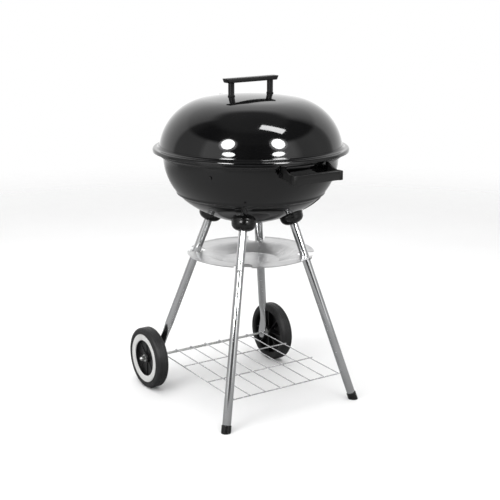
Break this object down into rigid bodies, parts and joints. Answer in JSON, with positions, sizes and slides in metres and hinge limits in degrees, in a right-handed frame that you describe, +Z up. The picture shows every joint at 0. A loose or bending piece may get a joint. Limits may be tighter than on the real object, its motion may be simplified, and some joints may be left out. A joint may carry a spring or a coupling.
{
  "type": "kettle charcoal grill",
  "caption": "Kettle charcoal grill: domed lid with bar handle over a round bowl, on splayed tube legs with ash tray, wire shelf and a pair of wheels.",
  "frame": {"origin": "on the floor, under the middle of the grill's footprint box", "axes": "+Z up, X along the wheel axle, +Y towards the wheels, -Y towards the side handle"},
  "size_m": [0.4399, 0.4958, 0.7409],
  "materials": {
    "black_enamel": "glossy vitreous enamel",
    "black_plastic": "fine-grained matt moulding",
    "tyre_rubber": "satin with moulding lines",
    "white_plastic": "satin",
    "chromed_tube": "polished, with fine draw lines",
    "chromed_wire": "bright plated wire",
    "dark_wire": "dull, heat-darkened",
    "satin_sheet": "satin rolled sheet",
    "zinc_steel": "zinc plated"
  },
  "bodies": {
    "stand": {"bowl": "black_enamel", "bowl_damper_rivet": "zinc_steel", "grate_brackets": "zinc_steel", "bracket_rivets": "black_enamel", "side_handle": "black_plastic", "side_handle_lugs": "black_enamel", "side_handle_screws": "black_enamel", "leg_straps": "black_enamel", "socket_front_left": "black_plastic", "socket_front_right": "black_plastic", "socket_rear_left": "black_plastic", "socket_rear_right": "black_plastic", "leg_bolts": "zinc_steel", "leg_inserts": "zinc_steel", "leg_front_left": "chromed_tube", "leg_front_right": "chromed_tube", "leg_rear_left": "chromed_tube", "leg_rear_right": "chromed_tube", "foot_cap_left": "black_plastic", "foot_cap_right": "black_plastic", "ash_tray": "satin_sheet", "tray_screws": "zinc_steel", "wire_shelf": "chromed_wire", "axle": "zinc_steel", "axle_washers": "zinc_steel", "axle_nuts": "zinc_steel"},
    "lid": {"lid": "black_enamel", "lid_handle": "black_plastic", "lid_handle_feet": "black_plastic", "lid_handle_screws": "zinc_steel", "lid_damper_rivet": "zinc_steel"},
    "lid_damper": {"lid_damper": "satin_sheet"},
    "bowl_damper": {"bowl_damper": "satin_sheet"},
    "cooking_grate": {"cooking_grate_ring": "chromed_wire", "cooking_grate_bars": "chromed_wire", "cooking_grate_loops": "chromed_wire"},
    "charcoal_grate": {"charcoal_grate_ring": "dark_wire", "charcoal_grate_bars": "dark_wire"},
    "wheel_left": {"tyre_left": "tyre_rubber", "hub_left": "black_plastic", "trim_ring_left": "white_plastic"},
    "wheel_right": {"tyre_right": "tyre_rubber", "hub_right": "black_plastic", "trim_ring_right": "white_plastic"}
  },
  "joints": [
    {"name": "lid_lift", "type": "slide", "parent": "stand", "child": "lid", "axis": [0, 0, 1], "range_m": [0, 0.35]},
    {"name": "lid_damper_turn", "type": "hinge", "parent": "lid", "child": "lid_damper", "pos_m": [0, 0.15515, 0.67711], "axis": [0, 0.541, 0.841], "range_deg": [0, 60]},
    {"name": "bowl_damper_turn", "type": "hinge", "parent": "stand", "child": "bowl_damper", "pos_m": [0, 0.00515, 0.4177], "axis": [0, 0, 1], "range_deg": [0, 45]},
    {"name": "cooking_grate_lift", "type": "slide", "parent": "stand", "child": "cooking_grate", "axis": [0, 0, 1], "range_m": [0, 0.018]},
    {"name": "charcoal_grate_lift", "type": "slide", "parent": "stand", "child": "charcoal_grate", "axis": [0, 0, 1], "range_m": [0, 0.045]},
    {"name": "wheel_left_spin", "type": "hinge", "parent": "stand", "child": "wheel_left", "pos_m": [0, 0.17535, 0.0725], "axis": [1, 0, 0], "continuous": true},
    {"name": "wheel_right_spin", "type": "hinge", "parent": "stand", "child": "wheel_right", "pos_m": [0, 0.17535, 0.0725], "axis": [1, 0, 0], "continuous": true}
  ]
}
